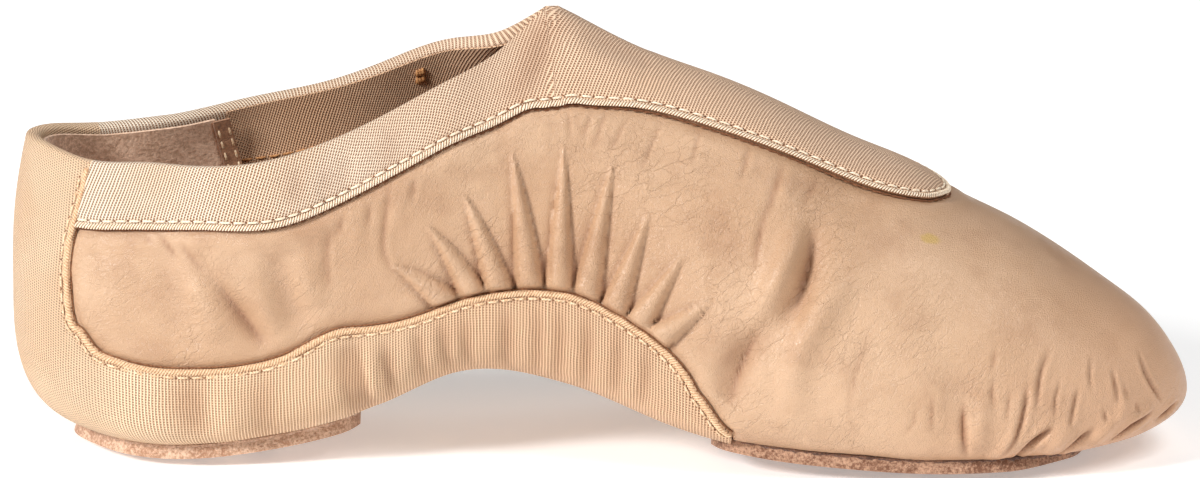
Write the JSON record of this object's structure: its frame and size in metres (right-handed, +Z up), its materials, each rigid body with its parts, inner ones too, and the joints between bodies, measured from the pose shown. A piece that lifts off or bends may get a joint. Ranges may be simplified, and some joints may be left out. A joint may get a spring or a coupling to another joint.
{
  "type": "jazz shoe",
  "caption": "Slip-on split-sole leather dance shoe, left, with a stretch-mesh collar and heel, gathered inner arch, and suede heel and forefoot pads.",
  "frame": {"origin": "on the floor, under the middle of the whole shoe's box", "axes": "+X from heel to toe, -Y towards the inner side of the foot, +Z up"},
  "size_m": [0.245, 0.0832, 0.0946],
  "materials": {
    "tan_leather": "soft, lightly glossy, creased",
    "collar_mesh": "matt stretch mesh with small holes",
    "heel_mesh": "matt stretch mesh with small holes",
    "pad_suede": "napped suede",
    "insole_cloth": "matt lining"
  },
  "bodies": {
    "root": {"upper": "tan_leather", "collar_gore": "collar_mesh", "heel_arch_panel": "heel_mesh", "outsole_heel": "pad_suede", "outsole_forefoot": "pad_suede", "insole": "insole_cloth"}
  },
  "joints": []
}
